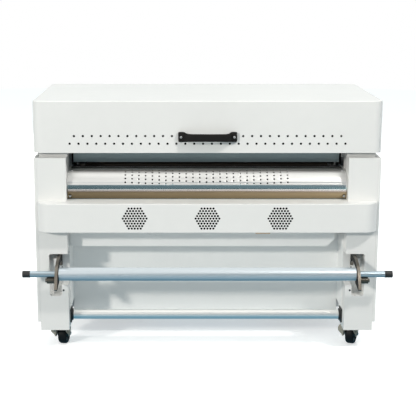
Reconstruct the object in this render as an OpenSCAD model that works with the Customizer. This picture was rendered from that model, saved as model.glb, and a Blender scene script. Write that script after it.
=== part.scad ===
// Direct-to-film powder shaker: free-standing sheet-metal machine on four
// casters. Millimetres, +Z up, origin on the floor under the middle of the
// machine. The film exit with its take-up shaft faces -Y.

/* [Hood] */
// Width of the hinged oven hood
hood_w = 1180; // [1080:10:1240]
// Depth of the hood, front to back
hood_d = 600; // [560:5:600]
// Height of the hood shell
hood_h = 176; // [150:1:200]
// Height of the hood's top above the floor
hood_top = 880; // [876:1:884]
// Radius of the hood's upright corners
hood_r = 28; // [10:1:40]
// Opening angle drawn (0 is closed)
hood_angle = 0; // [0:1:55]

/* [Sheet metal] */
// Thickness of the sheet-metal panels
sheet = 2; // [1.5:0.5:2.5]
// Side of the square frame tube
tube_s = 30; // [25:1:30]
// Wall of the square frame tube
tube_t = 2; // [1.5:0.5:3]

/* [Perforation] */
// Pitch of the hood's breather holes
breather_pitch = 30; // [25:1:32]
// Diameter of the hood's breather holes
breather_d = 6; // [4:0.5:8]
// Pitch of the hexagonal fan vents' holes
vent_pitch = 10; // [9:0.5:10.5]
// Diameter of a fan vent hole
vent_d = 5.5; // [4:0.5:7]
// Spacing of the three fan vents
vent_spacing = 246; // [230:1:260]

/* [Take-up shaft] */
// Diameter of the film core tube
core_d = 45; // [38:1:50]
// Diameter of the take-up rod
rod_d = 21; // [18:0.5:22]
// Whole length of the take-up shaft over its end caps
shaft_len = 1252; // [1230:2:1260]
// Height of the take-up shaft's axis
shaft_z = 302; // [300:0.5:304]

/* [Rollers] */
// Diameter of the lower guide roller
guide_d = 34; // [28:1:38]
// Diameter of the conveyor rollers
conveyor_d = 38; // [34:1:38]
// Diameter of the powder spreader roller
spreader_d = 36; // [30:1:38]
// Radius of the polished half-drum at the film exit
drum_r = 60; // [56:1:62]

/* [Casters] */
// Wheel diameter
wheel_d = 75; // [70:1:76]
// Wheel width
wheel_w = 30; // [26:1:32]
// Trail of the wheel behind the swivel pin
trail = 28; // [24:1:30]
// Swivel angle of the front left caster
yaw_fl = -8; // [-180:5:180]
// Swivel angle of the front right caster
yaw_fr = -22; // [-180:5:180]
// Swivel angle of the rear left caster
yaw_rl = 12; // [-180:5:180]
// Swivel angle of the rear right caster
yaw_rr = -20; // [-180:5:180]

/* [Fits] */
// Gap between two welded or riveted pieces
weld = 0.1; // [0.05:0.01:0.2]
// Radial clearance of a running fit
fit_c = 0.06; // [0.02:0.01:0.1]

/* [Hidden] */
front_y = -402.5;               // front plane of the hood and columns
hood_bot = hood_top - hood_h;   // 704
hw = hood_w/2;
col_in = 480;                   // inner face of the columns
col_out = 579;                  // outer face of the columns
col_dep = 117;                  // depth of the columns
leg_z = 77;                     // bottom of the columns
col_top = 687;                  // top of the columns
cov_x = 589;                    // outer face of the side covers
beam_z0 = 438;  beam_z1 = 538;  // fan beam
beam_y = -48;                   // front face of the fan beam
beam_flat = 531;                // half width of its flat front
drum_y = 80;    drum_z = 577;   // half-drum centre
rod_y = -78;                    // take-up axis, behind the front plane
brg_r = 11;                     // support bearing radius
brg_z = shaft_z - rod_d/2 - brg_r - 0.35;
conv_z = 619;   conv_y0 = 180;   conv_y1 = 525;
guide_y = 65;   guide_z = 115;
hinge_y = 609;  hinge_z = 712;
spread_y = 755; spread_z = 640;
shake_y = 675;  shake_z = 560;
lid_y = 836;    lid_z = 750;
caster_x = 512; caster_yf = 60; caster_yr = 820;
fan_r = 41;
vent_z = 488;
rear_y = 886;
collar_x = 260; collar_z = 215;

// ---- helpers: y is measured back from the front plane -------------------
module bx(x0, x1, y0, y1, z0, z1)
  translate([x0, front_y + y0, z0]) cube([x1 - x0, y1 - y0, z1 - z0]);
module cx(y, z, r, x0, x1, fn = 64)
  translate([x0, front_y + y, z]) rotate([0, 90, 0]) cylinder(h = x1 - x0, r = r, $fn = fn);
module cyy(x, z, r, y0, y1, fn = 64)
  translate([x, front_y + y0, z]) rotate([-90, 0, 0]) cylinder(h = y1 - y0, r = r, $fn = fn);
module cz(x, y, r, z0, z1, fn = 64)
  translate([x, front_y + y, z0]) cylinder(h = z1 - z0, r = r, $fn = fn);
module both() { children(); mirror([1, 0, 0]) children(); }
module prof_x(x0, x1) translate([x0, front_y, 0]) rotate([90, 0, 90]) linear_extrude(x1 - x0) children();
module prof_y(y0, y1) translate([0, front_y + y1, 0]) rotate([90, 0, 0]) linear_extrude(y1 - y0) children();
module prof_z(z0, z1) translate([0, front_y, z0]) linear_extrude(z1 - z0) children();
module rrect(x0, x1, y0, y1, r) {
  translate([x0 + r, y0]) square([x1 - x0 - 2*r, y1 - y0]);
  translate([x0, y0 + r]) square([x1 - x0, y1 - y0 - 2*r]);
  for (x = [x0 + r, x1 - r], y = [y0 + r, y1 - r]) translate([x, y]) circle(r, $fn = 64);
}
module tube_x(x0, x1, y, z) difference() {
  bx(x0, x1, y, y + tube_s, z, z + tube_s);
  bx(x0 - 1, x1 + 1, y + tube_t, y + tube_s - tube_t, z + tube_t, z + tube_s - tube_t);
}
module tube_y(x, y0, y1, z) difference() {
  bx(x, x + tube_s, y0, y1, z, z + tube_s);
  bx(x + tube_t, x + tube_s - tube_t, y0 - 1, y1 + 1, z + tube_t, z + tube_s - tube_t);
}
module tube_z(x, y, z0, z1) difference() {
  bx(x, x + tube_s, y, y + tube_s, z0, z1);
  bx(x + tube_t, x + tube_s - tube_t, y + tube_t, y + tube_s - tube_t, z0 - 1, z1 + 1);
}

// ---- frame and fixed covers ---------------------------------------------
// tubes are separate pieces, a weld gap apart
module base_frame() color("gainsboro") {
  both() {
    tube_y(497, 4, 884, 105);
    tube_z(497, 181, 135 + weld, 560);
    tube_z(497, 560, 135 + weld, 687);
    tube_z(497, 850, 135 + weld, 510);
    tube_y(497, 211 + weld, 560 - weld, 530);
    tube_y(497, 590 + weld, 850 - weld, 480);
    // runners of the powder tray
    bx(482, 497 - weld, 575, 865, 318, 330);
  }
  for (y = [181, 560]) { tube_x(weld - 497, 497 - weld, y, 105); tube_x(weld - 497, 497 - weld, y, 530); }
  tube_x(weld - 497, 497 - weld, 850, 105);
}

// one side's folded cover tray, open towards the frame
module cover_tray() difference() {
  bx(col_out, cov_x, 0, 598, 107, col_top);
  bx(col_out - 1, cov_x - sheet, sheet, 598 - sheet, 107 + sheet, col_top - sheet);
  for (i = [0:7]) bx(cov_x - 4, cov_x + 1, 330, 470, 180 + 16*i, 185 + 16*i);
}
module side_covers() color("whitesmoke") both() cover_tray();

module notch_2d() {
  translate([col_in - 1, 240]) square([546 - col_in - 8, 112]);
  translate([col_in - 1, 240]) square([546 - col_in, 104]);
  translate([537, 344]) circle(8, $fn = 48);
  translate([503, 209]) square([42, 32]);
  translate([511, 201]) square([26, 9]);
  for (x = [511, 537]) translate([x, 209]) circle(8, $fn = 48);
}
module column_right_solid() difference() {
  union() {
    difference() {
      bx(col_in, col_out, 0, col_dep, leg_z, col_top);
      bx(col_in + sheet, col_out - sheet, sheet, col_dep + 1, leg_z - 1, col_top - sheet);
    }
    bx(col_in, 547, 0, 59, 238, 354);
    bx(501, 547, 0, 59, 199, 240);
  }
  prof_y(-1, 57) notch_2d();
}
module column_right() color("whitesmoke") column_right_solid();
module column_left() color("whitesmoke") mirror([1, 0, 0]) column_right_solid();

module neck_frame() color("gray") {
  both() difference() {
    bx(476, 572, 20, 600, col_top, 702);
    bx(478, 570, 22, 598, col_top - 1, 700);
  }
  difference() {
    bx(-476, 476, 592, 600, 668, 702);
    bx(-470, 470, 591, 598, 670, 700);
  }
}

// fan beam: top, bottom, back and rounded ends; its flat front is the grille
module beam_plan(e) {
  translate([-beam_flat, beam_y + e]) square([2*beam_flat, -beam_y - e]);
  for (s = [-1, 1]) translate([s*beam_flat, 0]) intersection() {
    circle(-beam_y - e, $fn = 96);
    translate([s > 0 ? -0.001 : -60, -60]) square([60.001, 60]);
  }
}
module beam_housing() color("whitesmoke") {
  difference() {
    prof_z(beam_z0, beam_z1) beam_plan(0);
    prof_z(beam_z0 + sheet, beam_z1 - sheet) beam_plan(sheet);
    // flat front closed by the grille
    bx(-beam_flat, beam_flat, beam_y - 1, beam_y + sheet, beam_z0 - 1, beam_z1 + 1);
    // open to the rear between the columns
    bx(-col_in + sheet, col_in - sheet, -10, 1, beam_z0 + sheet, beam_z1 - sheet);
  }
  difference() {
    bx(-col_in, col_in, -0.5, 57, beam_z0, beam_z1);
    bx(-col_in + sheet, col_in - sheet, -1, 57 - sheet, beam_z0 + sheet, beam_z1 - sheet);
  }
}
module hex_holes(xc) for (r = [-4:4]) for (i = [0:8 - abs(r)])
  cyy(xc + (i - (8 - abs(r))/2)*vent_pitch, vent_z + r*vent_pitch*sqrt(3)/2, vent_d/2, beam_y - 1, beam_y + sheet + 1, 24);
module beam_front_grille() color("white") difference() {
  bx(-beam_flat, beam_flat, beam_y, beam_y + sheet, beam_z0, beam_z1);
  for (s = [-1:1]) hex_holes(s*vent_spacing);
}

// three axial fans behind the hexagonal vents
module fan_frame(xc) {
  difference() {
    bx(xc - 47, xc + 47, beam_y + sheet, beam_y + 30, vent_z - 47, vent_z + 47);
    cyy(xc, vent_z, fan_r + 2, beam_y, beam_y + 31, 96);
  }
  // motor plate and spider behind the impeller
  cyy(xc, vent_z, 16, beam_y + 25, beam_y + 30, 48);
  for (a = [45:90:315]) translate([xc, front_y + beam_y + 26, vent_z]) rotate([0, a, 0])
    translate([14, 0, -2]) cube([31, 3, 4]);
  cyy(xc, vent_z, 3, beam_y + 6, beam_y + 26, 32);
}
module cooling_fan_frames() color("dimgray") for (s = [-1:1]) fan_frame(s*vent_spacing);
module fan_impeller(xc) color("black") difference() {
  union() {
    cyy(xc, vent_z, 15, beam_y + 6, beam_y + 24, 48);
    for (k = [0:6]) translate([xc, front_y + beam_y + 15, vent_z]) rotate([0, k*360/7, 0])
      translate([13, 0, 0]) rotate([38, 0, 0]) translate([0, -1, -9]) cube([26, 2, 18]);
  }
  cyy(xc, vent_z, 3 + fit_c, beam_y + 5, beam_y + 25, 32);
}
module fan_impeller_left() fan_impeller(-vent_spacing);
module fan_impeller_middle() fan_impeller(0);
module fan_impeller_right() fan_impeller(vent_spacing);

// polished half-drum over which the film leaves the oven
module arc_guide_plate() color("silver") prof_x(-col_in, col_in) {
  intersection() {
    translate([drum_y, drum_z]) difference() {
      circle(drum_r, $fn = 128);
      circle(drum_r - 1.5, $fn = 128);
    }
    union() {
      translate([drum_y - 80, drum_z]) square([80, 80]);
      translate([drum_y - 80, beam_z1]) square([80, drum_z - beam_z1 + 0.01]);
    }
  }
  translate([drum_y, drum_z + drum_r - 1.5]) square([140 - drum_y, 1.5]);
}
module drum_screw(x, a) translate([x, front_y + drum_y, drum_z]) rotate([a, 0, 0])
  translate([0, drum_r, 0]) rotate([-90, 0, 0]) cylinder(h = 2.4, r = 4.5, $fn = 32);
module arc_plate_screws() color("silver") both() {
  drum_screw(468, 108);
  drum_screw(470, 205);
}

module oven_trough() color("slategray") difference() {
  bx(-472, 472, 140, 592, 560, 686);
  bx(-472 + sheet, 472 - sheet, 140 + sheet, 592 - sheet, 560 + sheet, 687);
  bx(-467, 467, 139, 143, 600, 635);
  bx(-467, 467, 139, 143, 637, 650);
  bx(-440, 440, 589, 593, 625, 662);
  // clearance for the conveyor drive shaft
  cx(conv_y1, conv_z, 12, 469, 473);
}

module lower_back_panel() color("whitesmoke") {
  bx(-col_in, col_in, 175, 177, 85, 437);
  both() bx(col_in - sheet, col_in, 59, 175.01, 141, 437);
  bx(-col_in + 22, col_in - 22, 165, 175.01, 85, 87);
}
// folded duct pan under the beam, its right lower corner cut off
module airflow_pan() color("gainsboro") difference() {
  prof_y(60, 175) polygon([[-477, 365], [423, 365], [447, 389], [447, 437], [-477, 437]]);
  prof_y(61.5, 176) polygon([[-475.5, 366.5], [422.4, 366.5], [445.5, 389.6], [445.5, 438], [-475.5, 438]]);
}
module exit_sensor() color("peru") bx(164, 214, -36, -18, beam_z0 - 5, beam_z0);

// ---- oven conveyor ----------------------------------------------------------
module conveyor_rails() color("silver") both() difference() {
  union() {
    bx(452, 457, 160, 548, 562, 646);
    for (y = [conv_y0, conv_y1]) cx(y, conv_z, 15, 448, 458, 48);
  }
  for (y = [conv_y0, conv_y1]) cx(y, conv_z, 8 + fit_c, 447, 459, 48);
}
module belt_2d(r) {
  translate([conv_y0, conv_z]) circle(r, $fn = 64);
  translate([conv_y1, conv_z]) circle(r, $fn = 64);
  translate([conv_y0, conv_z - r]) square([conv_y1 - conv_y0, 2*r]);
}
module conveyor_belt() color("darkslategray") prof_x(-430, 430) difference() {
  belt_2d(conveyor_d/2 + 1.9);
  belt_2d(conveyor_d/2 + 0.4);
}
module conveyor_roller(y) color("silver") {
  cx(y, conv_z, conveyor_d/2, -444, 444);
  cx(y, conv_z, 8, -462, 462, 48);
}
module conveyor_drive_roller() { conveyor_roller(conv_y1); color("silver") cx(conv_y1, conv_z, 8, 461, 473.5, 48); }
module conveyor_idler_roller() conveyor_roller(conv_y0);
// gear motors: conveyor, spreader and shaker drives
module gear_motor(y, z, x0, r) {
  bx(x0, x0 + 22, y - r, y + r, z - r, z + r);
  cx(y, z, r - 2, x0 + 21, x0 + 52, 48);
}
module drive_motors() color("darkgray") {
  gear_motor(conv_y1, conv_z, 474, 24);
  gear_motor(spread_y, spread_z, 522, 22);
  gear_motor(shake_y, shake_z, 522, 22);
}

// ---- take-up shaft --------------------------------------------------------------
module cradle_2d() difference() {
  polygon([[57, 346], [0, 346], [-30, 344], [-56, 338], [-76, 329.5], [-92, 318],
    [-103, 305], [-112, 291], [-120, 276], [-127, 261], [-124, 257], [-112, 256], [-96, 261],
    [-80, 263], [-62, 264], [-53, 272], [-52, 286], [-55, 291.5], [-55, 314.5],
    [-40, 321], [-10, 324], [20, 322], [40, 312], [57, 296]]);
  translate([rod_y, shaft_z]) circle(rod_d/2 + 2, $fn = 64);
  translate([rod_y, shaft_z - rod_d/2 - 1]) square([40, rod_d + 3]);
  translate([-104, 276]) circle(4, $fn = 32);
}
module cradle_arms() color("silver") both() {
  prof_x(505, 515) cradle_2d();
  // bolt of the support bearing
  cx(rod_y, brg_z, 4, 514, 545, 32);
  cx(rod_y, brg_z, 7, 515, 518, 32);
  cx(rod_y, brg_z, 7, 545, 549, 32);
}
module cradle_blocks() color("black") both() bx(515, 532, 20, 57, 303, 331);
module cradle_bearing() difference() {
  cx(rod_y, brg_z, brg_r, 519, 544, 48);
  cx(rod_y, brg_z, 4 + fit_c, 518, 545, 48);
}
module cradle_bearing_right() color("darkslategray") cradle_bearing();
module cradle_bearing_left() color("darkslategray") mirror([1, 0, 0]) cradle_bearing();
module take_up_tube() color("lightsteelblue") difference() {
  cx(rod_y, shaft_z, core_d/2, -502, 502, 96);
  cx(rod_y, shaft_z, core_d/2 - 3, -492, 492, 96);
  cx(rod_y, shaft_z, rod_d/2, -503, 503, 64);
}
module take_up_rod() color("lightsteelblue") cx(rod_y, shaft_z, rod_d/2, -shaft_len/2 + 3, shaft_len/2 - 3);
module take_up_caps() color("black") both() difference() {
  cx(rod_y, shaft_z, rod_d/2 + 1.2, shaft_len/2 - 26, shaft_len/2, 48);
  cx(rod_y, shaft_z, rod_d/2, shaft_len/2 - 27, shaft_len/2 - 3, 64);
}

module lower_roller_bearings() color("black") both() difference() {
  union() {
    cx(guide_y, guide_z, 21, 471, 475, 48);
    bx(475, col_in, guide_y - 24, guide_y + 24, guide_z - 24, guide_z + 24);
  }
  cx(guide_y, guide_z, 6 + fit_c, 470, 481, 48);
}
module lower_roller() color("silver") {
  cx(guide_y, guide_z, guide_d/2, -469, 469, 96);
  cx(guide_y, guide_z, 6, -479, 479, 48);
}

// ---- hinged hood -----------------------------------------------------------------
module swing() translate([0, front_y + hinge_y, hinge_z]) rotate([-hood_angle, 0, 0])
  translate([0, -front_y - hinge_y, -hinge_z]) children();
module hood_shell() color("whitesmoke") swing() difference() {
  prof_z(hood_bot, hood_top) rrect(-hw, hw, 0, hood_d, hood_r);
  prof_z(hood_bot - 1, hood_top - sheet) rrect(-hw + sheet, hw - sheet, sheet, hood_d - sheet, hood_r - sheet);
  bx(-hw + hood_r, hw - hood_r, -1, sheet, hood_bot - 1, hood_top - 6);
}
module hood_front_panel() color("white") swing() difference() {
  bx(-hw + hood_r, hw - hood_r, 0, sheet, hood_bot, hood_top - 6);
  for (i = [-15:15]) if (abs(i) > 3) cyy(i*breather_pitch, 762, breather_d/2, -1, sheet + 1, 24);
  for (i = [-16:15]) cyy((i + 0.5)*breather_pitch, 736, breather_d/2, -1, sheet + 1, 24);
}
module hood_handle() color("black") swing() {
  difference() {
    prof_z(747, 773) rrect(-99, 99, -38, 0, 9);
    prof_z(746, 774) { translate([-76, -25]) square([152, 26]); }
  }
  both() bx(78, 99, -14, 0, 743, 777);
}
module hood_liner() color("silver") swing() {
  // top reflector sheet and the four strips riveted round it
  bx(-540, 540, 30, 570, 840.5, 842);
  for (y = [30, 568.5]) bx(-540, 540, y, y + 1.5, 790, 840.5 - weld);
  both() bx(538.5, 540, 31.5 + weld, 568.5 - weld, 790, 840.5 - weld);
  // hanger rails to the hood's top
  for (x = [-400, 0, 400]) bx(x - 1.5, x + 1.5, 40, 560, 842 + weld, hood_top - sheet);
  // ceramic tube holders
  for (y = [100, 200, 300, 400, 500]) both() difference() {
    bx(500, 512, y - 14, y + 14, 790, 840.5 - weld);
    cx(y, 808, 6, 499, 513, 32);
  }
}
module heater_tubes() color("orange") swing() for (y = [100, 200, 300, 400, 500])
  cx(y, 808, 6, -520, 520, 32);

// two loose-joint hinges at the back of the hood
module hood_leaf(xc) difference() {
  union() {
    bx(xc - 10, xc + 10, 600, 603, 708, 764);
    bx(xc - 10, xc + 10, 600, hinge_y, hinge_z - 4, hinge_z + 4);
    cx(hinge_y, hinge_z, 6, xc - 10, xc + 10, 48);
  }
  cx(hinge_y, hinge_z, 3 + fit_c, xc - 11, xc + 11, 48);
}
module hood_hinge_leaves() color("silver") swing() for (x = [-350, 350]) hood_leaf(x);
module base_leaf(xc) {
  bx(xc - 24, xc + 24, 600, 603, 640, 700);
  for (s = [-1, 1]) {
    bx(xc + (s > 0 ? 10.5 : -24), xc + (s > 0 ? 24 : -10.5), 600, 606, 690, 706);
    bx(xc + (s > 0 ? 10.5 : -24), xc + (s > 0 ? 24 : -10.5), 603.2, hinge_y + 3, 698, hinge_z);
    cx(hinge_y, hinge_z, 6, xc + (s > 0 ? 10.5 : -24), xc + (s > 0 ? 24 : -10.5), 48);
  }
  cx(hinge_y, hinge_z, 3, xc - 25, xc + 25, 48);
}
module base_hinge_leaves() color("silver") for (x = [-350, 350]) base_leaf(x);

// ---- powder section ---------------------------------------------------------------
module plate_2d(e) polygon([[601 + e, 107 + e], [rear_y - e, 107 + e], [rear_y - e, 650 - e],
  [840 - e, 742 - e], [676 + e, 742 - e], [652 + e, 687 - e], [601 + e, 687 - e]]);
module powder_side_plates() color("whitesmoke") both() difference() {
  prof_x(col_out, cov_x) plate_2d(0);
  prof_x(col_out - 1, cov_x - sheet) plate_2d(sheet);
}
module hopper_end_2d() polygon([[652, 510], [698, 510], [716, 600], [790, 600], [842, 700],
  [842, 742], [672, 742], [652, 700]]);
module powder_hopper() color("gainsboro") {
  both() difference() {
    union() {
      prof_x(498, 504) hopper_end_2d();
      bx(504, col_out, 690, 838, 728, 730);
    }
    cx(spread_y, spread_z, 8 + fit_c, 497, 505, 48);
    cx(shake_y, shake_z, 8 + fit_c, 497, 505, 48);
  }
  prof_x(-498, 498) {
    polygon([[690, 742], [692.4, 742], [736.4, 662], [734, 662]]);
    polygon([[820, 742], [817.6, 742], [773.6, 662], [776, 662]]);
  }
  prof_x(-498, 498) polygon([[818, 742], [842, 742], [842, 740], [817, 740]]);
  prof_x(-498, 498) polygon([[692, 742], [672, 742], [672, 740], [693, 740]]);
  // lid hinge knuckles and pins
  for (x = [-300, 300]) {
    for (s = [-1, 1]) difference() {
      union() {
        cx(lid_y, lid_z, 5, x + s*17 - 6, x + s*17 + 6, 32);
        bx(x + s*17 - 6, x + s*17 + 6, lid_y - 5, lid_y + 5, 741, lid_z);
      }
    }
    cx(lid_y, lid_z, 2.5, x - 22, x + 22, 32);
  }
}
module hopper_lid() color("whitesmoke") difference() {
  union() {
    difference() {
      bx(-496, 496, 674, 826, 743, 752);
      bx(-494, 494, 676, 824, 742, 750);
    }
    for (x = [-300, 300]) {
      cx(lid_y, lid_z, 5, x - 10, x + 10, 32);
      bx(x - 10, x + 10, 825, lid_y, 749, 753);
    }
    bx(-60, 60, 668, 675, 748, 752);
  }
  for (x = [-300, 300]) cx(lid_y, lid_z, 2.5 + fit_c, x - 11, x + 11, 32);
}
module spreader_roller() color("darkslategray") {
  difference() {
    cx(spread_y, spread_z, spreader_d/2, -494, 494, 96);
    for (k = [0:11]) translate([-495, front_y + spread_y, spread_z]) rotate([k*30, 0, 0])
      translate([0, spreader_d/2 - 1.5, -1]) cube([990, 3, 2]);
  }
  cx(spread_y, spread_z, 8, -512, 520, 48);
}
module shaker_shaft() color("silver") {
  cx(shake_y, shake_z, 10, -494, 494, 48);
  for (k = [0:3]) translate([-488, front_y + shake_y, shake_z]) rotate([k*90 + 45, 0, 0])
    translate([0, 8, -1.5]) cube([976, 18, 3]);
  cx(shake_y, shake_z, 8, -512, 520, 48);
}
module powder_tray() color("silver") {
  difference() {
    bx(-488, 488, 615, rear_y + 0.5, 330.4, 425);
    bx(-486, 486, 617, rear_y - 2, 332.4, 426);
  }
  difference() {
    bx(-506, 506, rear_y + 0.5, rear_y + 3, 322, 434);
    bx(-60, 60, rear_y - 3, rear_y + 4, 405, 424);
  }
  bx(-64, 64, rear_y + 3, rear_y + 20, 424, 427);
}
module rear_panel() color("whitesmoke") difference() {
  union() {
    bx(-col_out, col_out, rear_y - 2, rear_y, 107, 610);
    cx(rear_y - 8, 610, 8, -col_out, col_out, 48);
  }
  bx(-491, 491, rear_y - 3, rear_y + 1, 328, 427);
  cyy(collar_x, collar_z, 48, rear_y - 3, rear_y + 1, 96);
  bx(-434, -386, rear_y - 3, rear_y + 1, 196, 226);
}
module exhaust_collar() color("lightgray") difference() {
  union() {
    cyy(collar_x, collar_z, 50, rear_y, 932, 128);
    cyy(collar_x, collar_z, 64, rear_y, rear_y + 2, 96);
  }
  cyy(collar_x, collar_z, 48, rear_y - 1, 933, 128);
}
module power_inlet() color("black") {
  difference() {
    bx(-434, -386, 862, rear_y + 2, 196, 226);
    bx(-426, -394, 868, rear_y + 3, 201, 221);
  }
  difference() {
    bx(-442, -378, rear_y, rear_y + 2, 190, 232);
    bx(-434, -386, rear_y - 1, rear_y + 3, 196, 226);
  }
  for (dx = [-8, 0, 8]) bx(-411.5 + dx, -408.5 + dx, 867, 880, 208, 214);
}

// ---- controls -----------------------------------------------------------------------
module control_panel() color("lightgray") {
  // pivot pin of the rocker switch
  cz(602, 792, 1.5, 464, 486, 32);
  control_case();
}
module control_case() difference() {
  union() {
    bx(cov_x, 604, 640, 850, 430, 640);
    cx(690, 475, 20, 603, 607, 48);
  }
  bx(cov_x - 1, 602, 642, 848, 432, 638);
  cx(690, 475, 8 + fit_c, 600, 608, 48);
  bx(601, 605, 778, 806, 466, 484);
  // display windows
  for (i = [0:2]) bx(603, 605, 662 + i*62, 706 + i*62, 560, 604);
}
module estop_button() color("red") {
  cx(690, 475, 8, 597, 612, 48);
  cx(690, 475, 18, 611, 626, 48);
}
module power_switch() color("black") translate([602, front_y + 792, 475]) difference() {
  linear_extrude(16, center = true) polygon([[-6, -11], [2.6, -12.5], [5.2, -12], [3.2, 0], [5.2, 12], [2.6, 12.5], [-6, 11]]);
  translate([0, 0, -9]) cylinder(h = 18, r = 1.5 + fit_c, $fn = 32);
}
module control_box() color("silver") difference() {
  bx(-240, 240, 195, 575, 135, 300);
  bx(-238, 238, 197, 573, 137, 298);
}

// ---- casters -------------------------------------------------------------------------
module at_caster(sx, y, yaw) translate([sx*caster_x, front_y + y, 0]) rotate([0, 0, yaw]) children();
module caster_plate() {
  translate([-27, -27, 102]) cube([54, 54, 3]);
  translate([0, 0, 80]) cylinder(h = 23, r = 6, $fn = 48);
  translate([0, 0, 79]) cylinder(h = 4, r = 9, $fn = 48);
}
module caster_plates() color("tan") {
  for (s = [-1, 1], y = [caster_yf, caster_yr]) translate([s*caster_x, front_y + y, 0]) caster_plate();
}
module fork() color("tan") {
  difference() {
    union() {
      translate([0, 0, 84]) cylinder(h = 17.7, r = 20, $fn = 64);
      translate([-21, -14, 84]) cube([42, 34, 3]);
      for (s = [-1, 1]) translate([s*19.5 - 1.5, 0, 0]) rotate([90, 0, 90]) linear_extrude(3) {
        polygon([[-19, 87], [19, 87], [19, 76], [26, 71], [trail + 13, 44], [trail + 8, 27.5], [trail - 9, 27.5], [trail - 20, 40], [-19, 58], [-26, 71], [-19, 76]]);
      }
    }
    translate([0, 0, 70]) cylinder(h = 40, r = 6 + fit_c, $fn = 48);
    translate([0, 0, 70]) cylinder(h = 13.6, r = 12, $fn = 48);
  }
  translate([-24, trail, wheel_d/2]) rotate([0, 90, 0]) cylinder(h = 48, r = 4, $fn = 48);
  for (s = [-1, 1]) translate([s > 0 ? 20.5 : -24.5, trail, wheel_d/2]) rotate([0, 90, 0]) cylinder(h = 4, r = 7, $fn = 6);
}
module wheel() color("black") translate([0, trail, wheel_d/2]) rotate([0, 90, 0]) difference() {
  union() {
    rotate_extrude($fn = 96) polygon([[12, -wheel_w/2 + 4], [26, -wheel_w/2 + 4], [29, -wheel_w/2], [wheel_d/2 - 4, -wheel_w/2], [wheel_d/2 - 1, -wheel_w/2 + 4],
      [wheel_d/2, -wheel_w/2 + 9], [wheel_d/2, wheel_w/2 - 9], [wheel_d/2 - 1, wheel_w/2 - 4], [wheel_d/2 - 4, wheel_w/2], [29, wheel_w/2], [26, wheel_w/2 - 4], [12, wheel_w/2 - 4]]);
    cylinder(h = 34, r = 12.5, center = true, $fn = 48);
  }
  cylinder(h = 40, r = 4 + fit_c, center = true, $fn = 48);
}
module caster_fork_fl() at_caster(-1, caster_yf, yaw_fl) fork();
module caster_fork_fr() at_caster(1, caster_yf, yaw_fr) fork();
module caster_fork_rl() at_caster(-1, caster_yr, yaw_rl) fork();
module caster_fork_rr() at_caster(1, caster_yr, yaw_rr) fork();
module caster_wheel_fl() at_caster(-1, caster_yf, yaw_fl) wheel();
module caster_wheel_fr() at_caster(1, caster_yf, yaw_fr) wheel();
module caster_wheel_rl() at_caster(-1, caster_yr, yaw_rl) wheel();
module caster_wheel_rr() at_caster(1, caster_yr, yaw_rr) wheel();

base_frame();
side_covers();
column_left();
column_right();
neck_frame();
beam_housing();
beam_front_grille();
cooling_fan_frames();
fan_impeller_left();
fan_impeller_middle();
fan_impeller_right();
arc_guide_plate();
arc_plate_screws();
oven_trough();
lower_back_panel();
airflow_pan();
exit_sensor();
conveyor_rails();
conveyor_belt();
conveyor_drive_roller();
conveyor_idler_roller();
drive_motors();
cradle_arms();
cradle_blocks();
cradle_bearing_left();
cradle_bearing_right();
take_up_tube();
take_up_rod();
take_up_caps();
lower_roller_bearings();
lower_roller();
hood_shell();
hood_front_panel();
hood_handle();
hood_liner();
heater_tubes();
hood_hinge_leaves();
base_hinge_leaves();
powder_side_plates();
powder_hopper();
hopper_lid();
spreader_roller();
shaker_shaft();
powder_tray();
rear_panel();
exhaust_collar();
control_panel();
estop_button();
power_switch();
power_inlet();
control_box();
caster_plates();
caster_fork_fl();
caster_fork_fr();
caster_fork_rl();
caster_fork_rr();
caster_wheel_fl();
caster_wheel_fr();
caster_wheel_rl();
caster_wheel_rr();
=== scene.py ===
import bpy, bmesh, math
from mathutils import Vector, Matrix


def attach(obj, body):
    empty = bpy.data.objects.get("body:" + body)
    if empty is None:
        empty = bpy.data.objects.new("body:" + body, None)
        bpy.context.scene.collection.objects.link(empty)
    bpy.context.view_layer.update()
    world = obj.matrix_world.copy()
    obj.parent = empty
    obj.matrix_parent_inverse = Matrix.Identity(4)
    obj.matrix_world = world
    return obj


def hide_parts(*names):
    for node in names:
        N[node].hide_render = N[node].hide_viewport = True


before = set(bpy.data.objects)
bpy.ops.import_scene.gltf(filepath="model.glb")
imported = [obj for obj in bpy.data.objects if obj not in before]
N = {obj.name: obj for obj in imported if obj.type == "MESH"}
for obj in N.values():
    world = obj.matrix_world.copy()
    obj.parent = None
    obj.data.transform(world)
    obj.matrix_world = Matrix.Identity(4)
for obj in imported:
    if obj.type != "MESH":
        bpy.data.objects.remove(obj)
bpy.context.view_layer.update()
FY = -0.4025                      # front plane of the hood and columns
scene = bpy.context.scene

# ------------------------------------------------------------------ materials
def new_mat(name):
    m = bpy.data.materials.new(name)
    m.use_nodes = True
    nt = m.node_tree
    b = nt.nodes["Principled BSDF"]
    return m, nt, b

def noise(nt, scale, detail=4.0, rough=0.5, stretch=None, kind="Object"):
    tc = nt.nodes.new("ShaderNodeTexCoord")
    mp = nt.nodes.new("ShaderNodeMapping")
    nt.links.new(tc.outputs[kind], mp.inputs["Vector"])
    if stretch:
        mp.inputs["Scale"].default_value = stretch
    n = nt.nodes.new("ShaderNodeTexNoise")
    n.inputs["Scale"].default_value = scale
    n.inputs["Detail"].default_value = detail
    n.inputs["Roughness"].default_value = rough
    nt.links.new(mp.outputs["Vector"], n.inputs["Vector"])
    return n.outputs["Fac"]

def ramp(nt, fac, stops):
    r = nt.nodes.new("ShaderNodeValToRGB")
    el = r.color_ramp.elements
    while len(el) < len(stops):
        el.new(0.5)
    for e, (p, c) in zip(el, stops):
        e.position = p
        e.color = (c[0], c[1], c[2], 1)
    nt.links.new(fac, r.inputs["Fac"])
    return r.outputs["Color"]

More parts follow.
